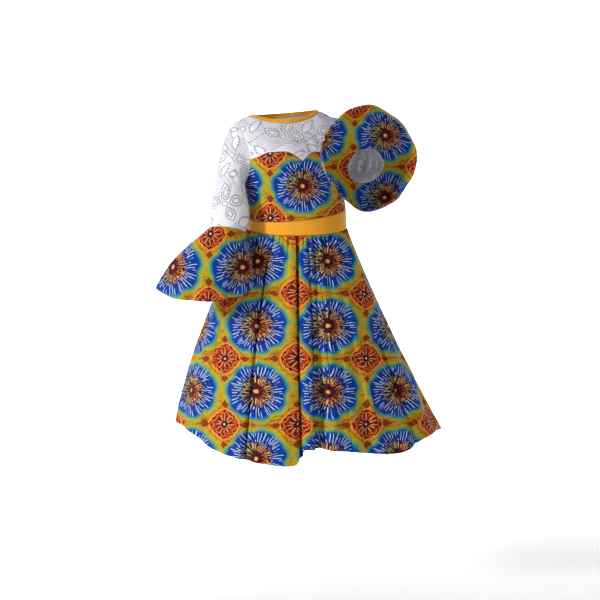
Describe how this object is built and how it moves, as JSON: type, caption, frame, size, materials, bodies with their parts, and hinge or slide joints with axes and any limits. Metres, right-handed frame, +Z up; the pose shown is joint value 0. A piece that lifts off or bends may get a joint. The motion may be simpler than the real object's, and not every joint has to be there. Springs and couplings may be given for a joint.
{
  "type": "ankara wax print dress",
  "caption": "Worn, hollow midi dress: lace yoke and sleeves, wax print sweetheart bodice, flared skirt and bell flounces, yellow neck and waist bands.",
  "frame": {"origin": "middle of the neck opening at the height of the shoulders, where the wearer's shoulders hold the dress", "axes": "+Z up, the front of the dress faces -Y, +X is to the right of someone looking at the front"},
  "size_m": [0.8403, 0.6753, 1.0103],
  "materials": {
    "wax_print": "waxed cotton, blue and gold print",
    "lace": "white cotton lace",
    "band": "plain yellow cotton sateen"
  },
  "bodies": {
    "root": {"neckband": "band", "yoke_front": "lace", "yoke_back_left": "lace", "yoke_back_right": "lace", "bodice_front": "wax_print", "bodice_back_left": "wax_print", "bodice_back_right": "wax_print", "waistband": "band", "skirt_front": "wax_print", "skirt_back_left": "wax_print", "skirt_back_right": "wax_print", "sleeve_hanging": "lace", "sleeve_raised": "lace", "flounce_hanging": "wax_print", "flounce_raised": "wax_print"}
  },
  "joints": []
}
